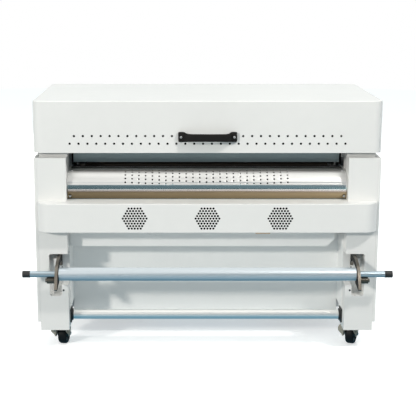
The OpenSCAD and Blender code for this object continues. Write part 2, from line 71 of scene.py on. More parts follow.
def frange(nt, fac, a, b, lo=0.0, hi=1.0):
    r = nt.nodes.new("ShaderNodeMapRange")
    r.inputs["From Min"].default_value = lo
    r.inputs["From Max"].default_value = hi
    r.inputs["To Min"].default_value = a
    r.inputs["To Max"].default_value = b
    nt.links.new(fac, r.inputs["Value"])
    return r.outputs["Result"]

def mix(nt, fac, a, b, mode="MIX"):
    m = nt.nodes.new("ShaderNodeMix")
    m.data_type = "RGBA"
    m.blend_type = mode
    if isinstance(fac, float):
        m.inputs[0].default_value = fac
    else:
        nt.links.new(fac, m.inputs[0])
    for i, v in ((6, a), (7, b)):
        if isinstance(v, tuple):
            m.inputs[i].default_value = (v[0], v[1], v[2], 1)
        else:
            nt.links.new(v, m.inputs[i])
    return m.outputs[2]

def bump(nt, b, heights, strength, dist):
    last = None
    for h, s, d in zip(heights, strength, dist):
        bp = nt.nodes.new("ShaderNodeBump")
        bp.inputs["Strength"].default_value = s
        bp.inputs["Distance"].default_value = d
        nt.links.new(h, bp.inputs["Height"])
        if last is not None:
            nt.links.new(last, bp.inputs["Normal"])
        last = bp.outputs["Normal"]
    nt.links.new(last, b.inputs["Normal"])

def powder(name, col, var=0.02, rough=0.42, grain=1.0):
    """Powder coat: fine orange peel, faint clouding, a little dust."""
    m, nt, b = new_mat(name)
    big = noise(nt, 3.0, 3)
    mid = noise(nt, 26.0, 5, 0.6)
    lo = tuple(max(0, c * (1 - var)) for c in col)
    hi = tuple(min(1, c * (1 + var)) for c in col)
    c1 = ramp(nt, big, [(0.35, lo), (0.65, hi)])
    c2 = ramp(nt, mid, [(0.3, tuple(c * 0.985 for c in col)), (0.7, tuple(min(1, c * 1.01) for c in col))])
    nt.links.new(mix(nt, 0.5, c1, c2), b.inputs["Base Color"])
    nt.links.new(frange(nt, mid, rough - 0.05, rough + 0.07, 0.3, 0.7), b.inputs["Roughness"])
    b.inputs["Specular IOR Level"].default_value = 0.45
    peel = noise(nt, 420.0, 2, 0.5)
    fine = noise(nt, 1500.0, 1, 0.5)
    bump(nt, b, [peel, fine], [0.25 * grain, 0.12 * grain], [0.0006, 0.0003])
    return m

def brushed(name, col, rough=0.28, stretch=(3.0, 260.0, 260.0), depth=0.25, metal=1.0, var=0.06):
    """Drawn or brushed metal, its lines along the long axis."""
    m, nt, b = new_mat(name)
    lines = noise(nt, 6.0, 6, 0.6, stretch)
    smear = noise(nt, 9.0, 4, 0.55)
    lo = tuple(c * (1 - var) for c in col)
    hi = tuple(min(1, c * (1 + var)) for c in col)
    c1 = ramp(nt, lines, [(0.3, lo), (0.7, hi)])
    c2 = ramp(nt, smear, [(0.3, tuple(c * 0.94 for c in col)), (0.7, col)])
    nt.links.new(mix(nt, 0.4, c1, c2), b.inputs["Base Color"])
    b.inputs["Metallic"].default_value = metal
    nt.links.new(frange(nt, smear, rough * 0.82, rough * 1.25, 0.3, 0.7), b.inputs["Roughness"])
    if depth:
        bump(nt, b, [lines], [depth], [0.00025])
    return m

def plastic(name, col, rough=0.5, scale=700.0, depth=0.35, speck=0.0):
    m, nt, b = new_mat(name)
    g = noise(nt, scale, 3, 0.6)
    big = noise(nt, 30.0, 3)
    c1 = ramp(nt, g, [(0.35, col), (0.75, tuple(min(1, c + 0.02 + speck) for c in col))])
    c2 = ramp(nt, big, [(0.3, tuple(c * 0.8 for c in col)), (0.7, tuple(min(1, c * 1.2) for c in col))])
    nt.links.new(mix(nt, 0.35, c1, c2), b.inputs["Base Color"])
    nt.links.new(frange(nt, g, rough - 0.08, rough + 0.1, 0.3, 0.7), b.inputs["Roughness"])
    bump(nt, b, [g], [depth], [0.0005])
    return m

def satin(name, col, rough, var=0.03, metal=1.0):
    """Evenly ground bar: faint long grain in the colour only."""
    m, nt, b = new_mat(name)
    g = noise(nt, 1.0, 3, 0.5, (0.5, 30.0, 30.0))
    nt.links.new(ramp(nt, g, [(0.3, tuple(c * (1 - var) for c in col)), (0.7, col)]), b.inputs["Base Color"])
    b.inputs["Metallic"].default_value = metal
    b.inputs["Roughness"].default_value = rough
    return m

MAT = {}
MAT["white"] = powder("white_powder_coat", (0.775, 0.77, 0.755))
# the white coat painted lighter for the recessed panels: painted light making up for the shade in the recess
MAT["white_recess_lit"] = powder("white_recess_painted_light", (0.86, 0.865, 0.855))
MAT["frame"] = powder("frame_coat", (0.62, 0.64, 0.66), 0.04, 0.5)
MAT["grey"] = powder("grey_coat", (0.24, 0.26, 0.27), 0.05, 0.5)
MAT["neck"] = powder("neck_coat", (0.66, 0.655, 0.64), 0.04, 0.5)
MAT["panel"] = powder("panel_coat", (0.55, 0.57, 0.59), 0.03, 0.4)
MAT["stainless"] = brushed("brushed_stainless", (0.56, 0.57, 0.57), 0.32)
MAT["slate"] = brushed("oven_steel", (0.28, 0.34, 0.355), 0.42, (2.0, 120.0, 120.0), 0.2, 0.85, 0.1)
MAT["zinc"] = brushed("zinc_plate", (0.50, 0.51, 0.52), 0.35, (40.0, 40.0, 40.0), 0.12)
# dark brown arm steel and the near-black claw sheets below: painted shade of the arms' inboard faces
MAT["arm"] = brushed("arm_steel", (0.20, 0.18, 0.155), 0.36, (60.0, 60.0, 60.0), 0.1, 1.0, 0.08)
MAT["claw_shade"] = plastic("claw_painted_shade", (0.008, 0.007, 0.006), 0.6, 300.0, 0.3, -0.014)
MAT["rod"] = satin("turned_rod", (0.44, 0.52, 0.57), 0.30, 0.03, 0.95)
MAT["bearing"] = brushed("dark_bearing", (0.10, 0.092, 0.078), 0.36, (200.0, 30.0, 30.0), 0.2, 0.9, 0.2)
MAT["caster"] = brushed("passivated_zinc", (0.40, 0.365, 0.30), 0.50, (50.0, 50.0, 50.0), 0.3, 0.35, 0.16)
MAT["alu"] = satin("anodised_aluminium", (0.57, 0.63, 0.675), 0.40, 0.03, 0.88)
MAT["roller"] = satin("ground_roller", (0.95, 0.95, 0.935), 0.34, 0.02, 0.8)
MAT["black"] = plastic("black_nylon", (0.008, 0.008, 0.008), 0.42)
MAT["handle"] = plastic("handle_grain", (0.0075, 0.0065, 0.006), 0.66, 900.0, 0.7, -0.014)
MAT["rubber"] = plastic("black_rubber", (0.018, 0.018, 0.018), 0.62, 500.0, 0.4)
# near-black: the real black seals and glide strip, and painted shade behind the hood and vent holes
MAT["void"] = plastic("black_seal_and_hole_shade", (0.0025, 0.0025, 0.0025), 0.85, 400.0, 0.4, -0.017)
MAT["tyre"] = plastic("tyre_rubber", (0.006, 0.0065, 0.007), 0.5, 350.0, 0.25, -0.012)
MAT["red"] = plastic("red_gloss", (0.55, 0.02, 0.015), 0.22, 300.0, 0.05)
MAT["brass"] = brushed("sensor_brass", (0.50, 0.30, 0.14), 0.4, (80.0, 20.0, 20.0), 0.2, 0.8, 0.15)
MAT["motor"] = powder("motor_paint", (0.07, 0.075, 0.08), 0.08, 0.45)
# near-black: painted shade inside the drum behind its holes
MAT["drum_hole_shade"] = plastic("drum_hole_shade_black", (0.008, 0.007, 0.007), 0.7, 200.0, 0.3)
MAT["bolt"] = brushed("black_oxide", (0.06, 0.065, 0.07), 0.38, (90.0, 90.0, 90.0), 0.2, 0.9, 0.2)
MAT["glass"] = plastic("display_glass", (0.010, 0.012, 0.014), 0.12, 60.0, 0.02)
MAT["digit"] = plastic("display_digit", (0.30, 0.02, 0.015), 0.3, 60.0, 0.02)
MAT["quartz"] = brushed("gold_quartz", (0.62, 0.38, 0.16), 0.18, (60.0, 4.0, 4.0), 0.05, 0.6, 0.2)

def mesh_belt(name):
    m, nt, b = new_mat(name)
    tc = nt.nodes.new("ShaderNodeTexCoord")
    outs = []
    for d in ("X", "Y"):
        w = nt.nodes.new("ShaderNodeTexWave")
        w.bands_direction = d
        w.inputs["Scale"].default_value = 80.0
        w.inputs["Distortion"].default_value = 0.3
        nt.links.new(tc.outputs["Object"], w.inputs["Vector"])
        outs.append(w.outputs["Fac"])
    mx = nt.nodes.new("ShaderNodeMath")
    mx.operation = "MAXIMUM"
    nt.links.new(outs[0], mx.inputs[0])
    nt.links.new(outs[1], mx.inputs[1])
    nt.links.new(ramp(nt, mx.outputs[0], [(0.45, (0.004, 0.004, 0.003)), (0.8, (0.030, 0.024, 0.017))]), b.inputs["Base Color"])
    b.inputs["Roughness"].default_value = 0.55
    bump(nt, b, [mx.outputs[0]], [0.6], [0.0008])
    return m
MAT["belt"] = mesh_belt("ptfe_mesh_belt")

def drum_mats():
    """Satin upper sheet, and a mirror-finished lower one coloured with painted reflection bands by height (brown, a
    pinkish line, blue) and painted shade darker towards its left end.
    """
    m, nt, b = new_mat("drum_satin")
    lines = noise(nt, 5.0, 5, 0.6, (0.8, 150.0, 150.0))
    smear = noise(nt, 3.0, 3, 0.5, (1.0, 4.0, 4.0))
    c1 = ramp(nt, lines, [(0.3, (0.63, 0.64, 0.63)), (0.7, (0.75, 0.75, 0.74))])
    nt.links.new(mix(nt, 0.3, c1, ramp(nt, smear, [(0.3, (0.70, 0.70, 0.69)), (0.7, (0.81, 0.81, 0.80))])), b.inputs["Base Color"])
    b.inputs["Metallic"].default_value = 0.88
    nt.links.new(frange(nt, smear, 0.36, 0.42, 0.3, 0.7), b.inputs["Roughness"])
    MAT["drum"] = m
    m, nt, b = new_mat("drum_mirror")
    tc = nt.nodes.new("ShaderNodeTexCoord")
    sp = nt.nodes.new("ShaderNodeSeparateXYZ")
    nt.links.new(tc.outputs["Object"], sp.inputs["Vector"])
    z = frange(nt, sp.outputs["Z"], 0.0, 1.0, 0.538, 0.592)
    wob = noise(nt, 2.2, 3, 0.5, (1.0, 1.0, 6.0))
    zz = nt.nodes.new("ShaderNodeMath"); zz.operation = "ADD"
    nt.links.new(z, zz.inputs[0])
    nt.links.new(frange(nt, wob, -0.05, 0.05, 0.3, 0.7), zz.inputs[1])
    # painted reflection: colour bands by height stand in for the brown floor, a pinkish line and blue seen in the
    # mirror
    painted_reflection_bands = ramp(nt, zz.outputs[0], [(0.0, (0.13, 0.11, 0.075)), (0.08, (0.27, 0.215, 0.135)), (0.38, (0.34, 0.265, 0.165)), (0.50, (0.30, 0.24, 0.16)),
                                    (0.56, (0.42, 0.35, 0.315)), (0.66, (0.45, 0.43, 0.415)), (0.74, (0.66, 0.78, 0.80)), (1.0, (0.85, 0.98, 1.0))])
    # painted shade and light: colour scaled from 0.72 at the left end to 1.25 at the right
    side = frange(nt, sp.outputs["X"], 0.72, 1.25, -0.48, 0.48)
    mul = nt.nodes.new("ShaderNodeVectorMath"); mul.operation = "SCALE"
    nt.links.new(painted_reflection_bands, mul.inputs[0]); nt.links.new(side, mul.inputs["Scale"])
    nt.links.new(mul.outputs[0], b.inputs["Base Color"])
    b.inputs["Metallic"].default_value = 1.0
    nt.links.new(frange(nt, wob, 0.10, 0.17, 0.3, 0.7), b.inputs["Roughness"])
    wav = noise(nt, 3.0, 2, 0.5, (1.0, 3.0, 3.0))
    bump(nt, b, [wav], [0.04], [0.002])
    MAT["drum_low"] = m
drum_mats()

for k in ("handle", "tyre", "void", "claw_shade", "drum_hole_shade"):
    for n in MAT[k].node_tree.nodes:
        if n.type == "BSDF_PRINCIPLED":
            n.inputs["Specular IOR Level"].default_value = 0.16

# ------------------------------------------------------------------ helpers
def smooth_mods(o, width, seg=2, angle=35, weld=True):
    for p in o.data.polygons:
        p.use_smooth = True
    if weld:
        w = o.modifiers.new("weld", "WELD")
        w.merge_threshold = 0.00002
    if width:
        b = o.modifiers.new("edge", "BEVEL")
        b.width = width
        b.segments = seg
        b.limit_method = "ANGLE"
        b.angle_limit = math.radians(angle)
        b.use_clamp_overlap = True
        b.harden_normals = False
    wn = o.modifiers.new("normals", "WEIGHTED_NORMAL")
    wn.mode = "FACE_AREA"
    wn.weight = 100
    wn.keep_sharp = True

def dress(node, mat, width=0.0008, seg=2, angle=35):
    o = N[node]
    o.data.materials.clear()
    o.data.materials.append(MAT[mat])
    for a in ("sharp_edge", "sharp_face"):
        if a in o.data.attributes:
            o.data.attributes.remove(o.data.attributes[a])
    smooth_mods(o, width, seg, angle)
    return o

def piece(name, bm_or_mesh, body, mat, width=0.0, seg=2, angle=35):
    if isinstance(bm_or_mesh, bmesh.types.BMesh):
        me = bpy.data.meshes.new(name)
        bmesh.ops.recalc_face_normals(bm_or_mesh, faces=bm_or_mesh.faces)
        bm_or_mesh.to_mesh(me)
        bm_or_mesh.free()
    else:
        me = bm_or_mesh
        me.name = name
    o = bpy.data.objects.new(name, me)
    scene.collection.objects.link(o)
    me.materials.clear()
    me.materials.append(MAT[mat])
    smooth_mods(o, width, seg, angle, weld=False)
    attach(o, body)
    return o

def add_box(bm, x0, x1, y0, y1, z0, z1):
    vs = [bm.verts.new((x, y, z)) for x in (x0, x1) for y in (y0, y1) for z in (z0, z1)]
    for f in ((0, 1, 3, 2), (4, 6, 7, 5), (0, 4, 5, 1), (2, 3, 7, 6), (0, 2, 6, 4), (1, 5, 7, 3)):
        bm.faces.new([vs[i] for i in f])
    return vs

def add_lathe(bm, profile, origin, axis, n=32):
    """Revolves (r, h) pairs about axis through origin; ends with r 0 close it."""
    ax = Vector(axis).normalized()
    u = ax.orthogonal().normalized()
    v = ax.cross(u)
    rings = []
    ring_shut = profile[0] == profile[-1] and len(profile) > 3
    for r, h in (profile[:-1] if ring_shut else profile):
        c = Vector(origin) + ax * h
        if r < 1e-7:
            rings.append([bm.verts.new(c)])
        else:
            rings.append([bm.verts.new(c + (u * math.cos(2 * math.pi * i / n) + v * math.sin(2 * math.pi * i / n)) * r) for i in range(n)])
    if ring_shut:
        rings.append(rings[0])
    for a, b in zip(rings, rings[1:]):
        for i in range(n):
            j = (i + 1) % n
            if len(a) == 1 and len(b) == 1:
                continue
            if len(a) == 1:
                bm.faces.new([a[0], b[i], b[j]])
            elif len(b) == 1:
                bm.faces.new([a[i], b[0], a[j]])
            else:
                bm.faces.new([a[i], b[i], b[j], a[j]])

def screw(bm, p, axis, r=0.0035, h=0.0022, socket=0.0016):
    """Button-head socket screw standing on a face at p."""
    add_lathe(bm, [(r * 0.98, -0.0006), (r, 0.0), (r, h * 0.35), (r * 0.86, h * 0.72), (r * 0.62, h), (socket, h), (socket * 0.9, h * 0.35), (0, h * 0.3)], p, axis, 20)

def prism(bm, pts, origin, ex, ey, ez, depth):
    """A 2D outline in (ex, ey), extruded along ez."""
    ex, ey, ez = Vector(ex), Vector(ey), Vector(ez)
    a = [bm.verts.new(Vector(origin) + ex * x + ey * y) for x, y in pts]
    b = [bm.verts.new(v.co + ez * depth) for v in a]
    bm.faces.new(a)
    bm.faces.new(list(reversed(b)))
    n = len(pts)
    for i in range(n):
        j = (i + 1) % n
        bm.faces.new([a[i], b[i], b[j], a[j]])

def holes_mesh(centres, r, y0, y1, n=20):
    bm = bmesh.new()
    for x, z in centres:
        a = [bm.verts.new((x + r * math.cos(2 * math.pi * i / n), y0, z + r * math.sin(2 * math.pi * i / n))) for i in range(n)]
        b = [bm.verts.new((v.co.x, y1, v.co.z)) for v in a]
        bm.faces.new(list(reversed(a)))
        bm.faces.new(b)
        for i in range(n):
            j = (i + 1) % n
            bm.faces.new([a[i], a[j], b[j], b[i]])
    bmesh.ops.recalc_face_normals(bm, faces=bm.faces)
    me = bpy.data.meshes.new("holes")
    bm.to_mesh(me)
    bm.free()
    return me

def cut(o, cutter_mesh):
    """Takes the cutter's volume out of the piece's own mesh."""
    c = bpy.data.objects.new("cutter", cutter_mesh)
    t = bpy.data.objects.new("blank", o.data)
    scene.collection.objects.link(c)
    scene.collection.objects.link(t)
    m = t.modifiers.new("cut", "BOOLEAN")
    m.operation = "DIFFERENCE"
    m.solver = "EXACT"
    m.object = c
    dg = bpy.context.evaluated_depsgraph_get()
    me = bpy.data.meshes.new_from_object(t.evaluated_get(dg))
    me.name = o.name
    bpy.data.objects.remove(t)
    bpy.data.objects.remove(c)
    bpy.data.meshes.remove(cutter_mesh)
    o.data = me
    for p in me.polygons:
        p.use_smooth = True

def closed(bm, name):
    bmesh.ops.recalc_face_normals(bm, faces=bm.faces)
    me = bpy.data.meshes.new(name)
    bm.to_mesh(me)
    bm.free()
    return me

# ------------------------------------------------------------------ camera and stage
cam_d = bpy.data.cameras.new("camera")
cam = bpy.data.objects.new("camera", cam_d)
scene.collection.objects.link(cam)
scene.camera = cam
cam_d.sensor_width = 36.0
cam_d.lens = 1055.25 / 416 * 36.0
cam_d.shift_x = (208.0 - 176.93) / 416
cam.location = (-0.1032, FY - 3.5232, 1.2755)
cam.rotation_euler = (math.radians(90 - 12.19), 0, 0)
cam_d.clip_end = 60

def pmat(name, col, rough=0.9):
    m, nt, b = new_mat(name)
    nt.links.new(ramp(nt, noise(nt, 1.3, 3), [(0.3, tuple(c * 0.985 for c in col)), (0.7, col)]), b.inputs["Base Color"])
    b.inputs["Roughness"].default_value = rough
    return m
bm = bmesh.new()
bmesh.ops.create_circle(bm, cap_ends=True, segments=96, radius=9.0)
me = bpy.data.meshes.new("floor"); bm.to_mesh(me); bm.free()
floor = bpy.data.objects.new("floor", me)
scene.collection.objects.link(floor)
floor.location = (0, 0, -0.0004)
fm = pmat("floor_white", (0.93, 0.93, 0.93))
for n in fm.node_tree.nodes:
    if n.type == "BSDF_PRINCIPLED":
        n.inputs["Emission Color"].default_value = (1.0, 1.0, 1.0, 1.0)
        n.inputs["Emission Strength"].default_value = 0.45
me.materials.append(fm)
floor.visible_diffuse = False

def card(name, pts, col, strength=1.0):
    """A reflection card: seen only in glossy reflections."""
    me = bpy.data.meshes.new(name)
    me.from_pydata(pts, [], [list(range(len(pts)))])
    o = bpy.data.objects.new(name, me)
    scene.collection.objects.link(o)
    m = bpy.data.materials.new(name)
    m.use_nodes = True
    nt = m.node_tree
    nt.nodes.clear()
    e = nt.nodes.new("ShaderNodeEmission")
    e.inputs["Color"].default_value = (*col, 1)
    e.inputs["Strength"].default_value = strength
    out = nt.nodes.new("ShaderNodeOutputMaterial")
    nt.links.new(e.outputs[0], out.inputs[0])
    me.materials.append(m)
    o.visible_camera = False
    o.visible_diffuse = False
    o.visible_shadow = False
    o.visible_transmission = False
    o.visible_volume_scatter = False
    return o
card("card_front", [(-2.2, FY - 2.0, 0.02), (2.2, FY - 2.0, 0.02), (2.2, FY - 2.0, 1.08), (-2.2, FY - 2.0, 1.08)], (0.16, 0.21, 0.23), 1.0)
card("card_soft", [(-2.6, FY - 2.6, 1.45), (2.6, FY - 2.6, 1.45), (2.6, FY - 1.9, 5.2), (-2.6, FY - 1.9, 5.2)], (1.0, 0.99, 0.97), 0.85)
card("card_floor", [(-1.6, FY - 1.3, 0.004), (1.6, FY - 1.3, 0.004), (1.6, FY - 0.16, 0.004), (-1.6, FY - 0.16, 0.004)], (0.36, 0.52, 0.60), 1.0)
card("card_pan", [(-0.475, FY - 0.11, 0.361), (0.475, FY - 0.11, 0.361), (0.475, FY + 0.17, 0.361), (-0.475, FY + 0.17, 0.361)], (1.0, 0.99, 0.95), 1.15)
card("card_hood", [(-0.478, FY + 0.001, 0.6995), (0.478, FY + 0.001, 0.6995), (0.478, FY + 0.072, 0.6995), (-0.478, FY + 0.072, 0.6995)], (1.0, 0.99, 0.96), 1.3)
card("card_under", [(-1.6, FY - 0.16, 0.004), (1.6, FY - 0.16, 0.004), (1.6, FY + 0.50, 0.004), (-1.6, FY + 0.50, 0.004)], (0.06, 0.25, 0.37), 1.0)

world = bpy.data.worlds.new("world")
scene.world = world
world.use_nodes = True
wn = world.node_tree
bg = wn.nodes["Background"]
tc = wn.nodes.new("ShaderNodeTexCoord")
sp = wn.nodes.new("ShaderNodeSeparateXYZ")
wn.links.new(tc.outputs["Generated"], sp.inputs["Vector"])
# a white studio: brighter overhead, a paler wall, a grey-blue horizon
sky = ramp(wn, frange(wn, sp.outputs["Z"], 0.0, 1.0, -1.0, 1.0), [(0.0, (0.50, 0.55, 0.56)), (0.40, (0.42, 0.48, 0.50)), (0.52, (0.28, 0.33, 0.35)), (0.62, (0.34, 0.41, 0.44)), (0.80, (0.50, 0.56, 0.58)), (1.0, (0.66, 0.70, 0.70))])
lp = wn.nodes.new("ShaderNodeLightPath")
wn.links.new(mix(wn, lp.outputs["Is Camera Ray"], sky, (1.0, 1.0, 1.0)), bg.inputs["Color"])
bg.inputs["Strength"].default_value = 1.0
scene.view_settings.view_transform = "Standard"
scene.view_settings.look = "None"
scene.view_settings.exposure = 0.0
scene.view_settings.gamma = 1.0

def area(name, loc, target, size, energy, col=(1, 1, 1), size_y=None):
    l = bpy.data.lights.new(name, "AREA")
    l.shape = "RECTANGLE"
    l.size = size
    l.size_y = size_y or size
    l.energy = energy
    l.color = col
    o = bpy.data.objects.new(name, l)
    scene.collection.objects.link(o)
    o.location = loc
    o.rotation_euler = (Vector(target) - Vector(loc)).to_track_quat("-Z", "Y").to_euler()
    return o
area("key_left", (-4.80, -6.06, 2.92), (0, -0.3, 0.40), 0.54, 296, (1.0, 0.955, 0.89))
area("key_right", (2.18, -2.62, 3.58), (0, -0.3, 0.40), 0.32, 74, (1.0, 0.965, 0.92))
area("fill_rear", (-1.6, 4.6, 1.5), (0, 0.4, 0.35), 1.2, 80, (1.0, 0.97, 0.94)).visible_glossy = False
area("top", (0.0, 0.3, 4.0), (0, 0, 0.8), 3.2, 52, (1.0, 0.965, 0.93))

# ------------------------------------------------------------------ CAD nodes with their finishes
for n, m, w in [
    ("base_frame", "frame", 0.0015), ("side_covers", "white", 0.0015), ("column_left", "white", 0.0014), ("column_right", "white", 0.0014),
    ("neck_frame", "neck", 0.001), ("cooling_fan_frames", "black", 0.0006),
    ("arc_plate_screws", "zinc", 0.0008), ("oven_trough", "slate", 0.0006), ("lower_back_panel", "white_recess_lit", 0.001), ("airflow_pan", "white_recess_lit", 0.001),
    ("exit_sensor", "brass", 0.0008), ("conveyor_rails", "stainless", 0.0006), ("conveyor_belt", "belt", 0.0), ("conveyor_drive_roller", "rubber", 0.0008),
    ("conveyor_idler_roller", "stainless", 0.0008), ("drive_motors", "motor", 0.0015), ("cradle_arms", "arm", 0.0008), ("cradle_blocks", "white", 0.001),
    ("cradle_bearing_left", "bearing", 0.0008), ("cradle_bearing_right", "bearing", 0.0008), ("take_up_tube", "alu", 0.0006), ("take_up_rod", "rod", 0.001),
    ("take_up_caps", "black", 0.0022), ("lower_roller_bearings", "black", 0.0008), ("lower_roller", "roller", 0.0008), ("hood_liner", "stainless", 0.0006),
    ("heater_tubes", "quartz", 0.001), ("hood_hinge_leaves", "zinc", 0.0005), ("base_hinge_leaves", "zinc", 0.0005), ("powder_side_plates", "white", 0.0015),
    ("powder_hopper", "stainless", 0.0005), ("hopper_lid", "white", 0.0012), ("spreader_roller", "rubber", 0.0003), ("shaker_shaft", "zinc", 0.0006),
    ("powder_tray", "stainless", 0.0006), ("rear_panel", "white", 0.0008), ("exhaust_collar", "zinc", 0.0006), ("control_panel", "panel", 0.0008),
    ("estop_button", "red", 0.002), ("power_switch", "black", 0.0006), ("power_inlet", "black", 0.0006), ("control_box", "zinc", 0.001),
    ("caster_plates", "caster", 0.0006), ("fan_impeller_left", "black", 0.0004), ("fan_impeller_middle", "black", 0.0004), ("fan_impeller_right", "black", 0.0004)]:
    dress(n, m, w)
for c in ("fl", "fr", "rl", "rr"):
    dress("caster_fork_" + c, "caster", 0.0008)
    dress("caster_wheel_" + c, "tyre", 0.0008)

# ------------------------------------------------------------------ hood: one folded skin with its breather holes
def rounded_rect(x0, x1, y0, y1, r, n=10):
    pts = []
    for cx, cy, a0 in ((x1 - r, y1 - r, 0), (x0 + r, y1 - r, 90), (x0 + r, y0 + r, 180), (x1 - r, y0 + r, 270)):
        for i in range(n + 1):
            a = math.radians(a0 + 90 * i / n)
            pts.append((cx + r * math.cos(a), cy + r * math.sin(a)))
    return pts

def loft(bm, loops, cap_first=False, cap_last=False):
    vv = [[bm.verts.new(p) for p in lp] for lp in loops]
    for a, b in zip(vv, vv[1:]):
        n = len(a)
        for i in range(n):
            j = (i + 1) % n
            bm.faces.new([a[i], a[j], b[j], b[i]])
    if cap_first:
        bm.faces.new(list(reversed(vv[0])))
    if cap_last:
        bm.faces.new(vv[-1])
    return vv

def shell_loops(x, y0, y1, r, z0, z1, t, er, n=10, m=5):
    """Loops of a closed-top tray turned down: outside up, over the rounded top edge."""
    loops = [[(px, py, z0 + 0.0006) for px, py in rounded_rect(-x, x, y0, y1, r, n)]]
    for i in range(m + 1):
        a = math.radians(90 * i / m)
        d = er * (1 - math.cos(a))
        z = z1 - er + er * math.sin(a)
        loops.append([(px, py, z) for px, py in rounded_rect(-x + d, x - d, y0 + d, y1 - d, r - d, n)])
    return loops

bm = bmesh.new()
z0, z1 = 0.704, 0.880
outer = shell_loops(0.590, FY, FY + 0.600, 0.028, z0, z1, 0.002, 0.0032)
ov = loft(bm, outer, cap_last=True)
t = 0.0016
inner = [[(px, py, z0 + 0.0006) for px, py in rounded_rect(-0.590 + t, 0.590 - t, FY + t, FY + 0.600 - t, 0.028 - t, 10)],
         [(px, py, z1 - t) for px, py in rounded_rect(-0.590 + t, 0.590 - t, FY + t, FY + 0.600 - t, 0.028 - t, 10)]]
iv = [[bm.verts.new(p) for p in lp] for lp in inner]
k = len(iv[0])
for i in range(k):
    j = (i + 1) % k
    bm.faces.new([iv[0][j], iv[0][i], iv[1][i], iv[1][j]])
    bm.faces.new([ov[0][j], ov[0][i], iv[0][i], iv[0][j]])
bm.faces.new(list(reversed(iv[1])))
hood = piece("hood_skin", bm, "hood", "white")
cent = [(i * 0.030, 0.762) for i in range(-15, 16) if abs(i) > 3] + [((i + 0.5) * 0.030, 0.736) for i in range(-16, 16)]
cut(hood, holes_mesh(cent, 0.0040, FY - 0.01, FY + 0.01))
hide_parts("hood_shell", "hood_front_panel")
# a near-black sheet behind the hood's holes: painted shade of the hood's inside
bm = bmesh.new()
add_box(bm, -0.5200, 0.5200, FY + 0.0026, FY + 0.0050, 0.7250, 0.7760)
piece("hood_hole_shade_sheet", bm, "hood", "void", 0.0006)

# ------------------------------------------------------------------ fan beam: one bent skin with three hexagonal vents
def beam_outline(e):
    pts = []
    n = 14
    for s in (-1, 1):
        for i in range(n + 1):
            a = math.radians(90 * i / n)
            r = 0.048 - e
            if s < 0:
                pts.append((-0.531 - r * math.cos(a), FY - r * math.sin(a)))
            else:
                pts.append((0.531 + r * math.sin(a), FY - r * math.cos(a)))
    return pts
bm = bmesh.new()
z0, z1, er = 0.438, 0.538, 0.0025
loops = []
for i in range(5):
    a = math.radians(90 * (1 - i / 4))
    loops.append([(x, y, z0 + er - er * math.sin(a)) for x, y in beam_outline(er * (1 - math.cos(a)))])
for i in range(5):
    a = math.radians(90 * i / 4)
    loops.append([(x, y, z1 - er + er * math.sin(a)) for x, y in beam_outline(er * (1 - math.cos(a)))])
loft(bm, loops, True, True)
beam = piece("beam_skin", bm, "root", "white")
# hollow it from behind, then punch the vents
hb = bmesh.new()
e = 0.0016
pts = beam_outline(e) + [(0.5794, FY + 0.002), (-0.5794, FY + 0.002)]
loft(hb, [[(x, y, z0 + e) for x, y in pts], [(x, y, z1 - e) for x, y in pts]], True, True)
cut(beam, closed(hb, "hollow"))
vc = []
for xc in (-0.246, 0.0, 0.246):
    for r in range(-4, 5):
        n = 9 - abs(r)
        for i in range(n):
            vc.append((xc + (i - (n - 1) / 2) * 0.010, 0.488 + r * 0.00866))
cut(beam, holes_mesh(vc, 0.0039, FY - 0.06, FY - 0.04, 12))
# near-black discs just behind the vents: painted shade inside the vent holes
bm = bmesh.new()
for xc in (-0.246, 0.0, 0.246):
    add_lathe(bm, [(0, 0), (0.0440, 0), (0.0448, 0.0006), (0.0448, 0.0020), (0.0440, 0.0026), (0, 0.0026)], (xc, FY - 0.0462, 0.488), (0, 1, 0), 48)
piece("vent_hole_shade_discs", bm, "root", "void")
bm = bmesh.new()
add_box(bm, -0.4798, 0.4798, FY + 0.0002, FY + 0.0570, z1 - 0.0018, z1 - 0.0001)
add_box(bm, -0.4798, 0.4798, FY + 0.0002, FY + 0.0570, z0 + 0.0001, z0 + 0.0018)
add_box(bm, -0.4798, 0.4798, FY + 0.0552, FY + 0.0569, z0 + 0.0019, z1 - 0.0019)
bt = piece("beam_back_tray", bm, "root", "white_recess_lit", 0.0006)
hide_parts("beam_housing", "beam_front_grille")

# ------------------------------------------------------------------ perforated half-drum at the film exit
DY, DZ, DR = FY + 0.080, 0.577, 0.060

def sheet(name, prof, th, mat):
    """A bent sheet across the machine from (y, z, ny, nz) points."""
    bm = bmesh.new()
    xs = [-0.4792 + 0.9584 * i / 24 for i in range(25)]
    go = [[bm.verts.new((x, y, z)) for (y, z, ny, nz) in prof] for x in xs]
    gi = [[bm.verts.new((x, y - ny * th, z - nz * th)) for (y, z, ny, nz) in prof] for x in xs]
    for i in range(len(xs) - 1):
        for j in range(len(prof) - 1):
            bm.faces.new([go[i][j], go[i + 1][j], go[i + 1][j + 1], go[i][j + 1]])
            bm.faces.new([gi[i][j + 1], gi[i + 1][j + 1], gi[i + 1][j], gi[i][j]])
        for j in (0, -1):
            bm.faces.new([go[i][j], gi[i][j], gi[i + 1][j], go[i + 1][j]])
    for i in (0, -1):
        for j in range(len(prof) - 1):
            bm.faces.new([go[i][j], go[i][j + 1], gi[i][j + 1], gi[i][j]])
    return piece(name, bm, "root", mat)

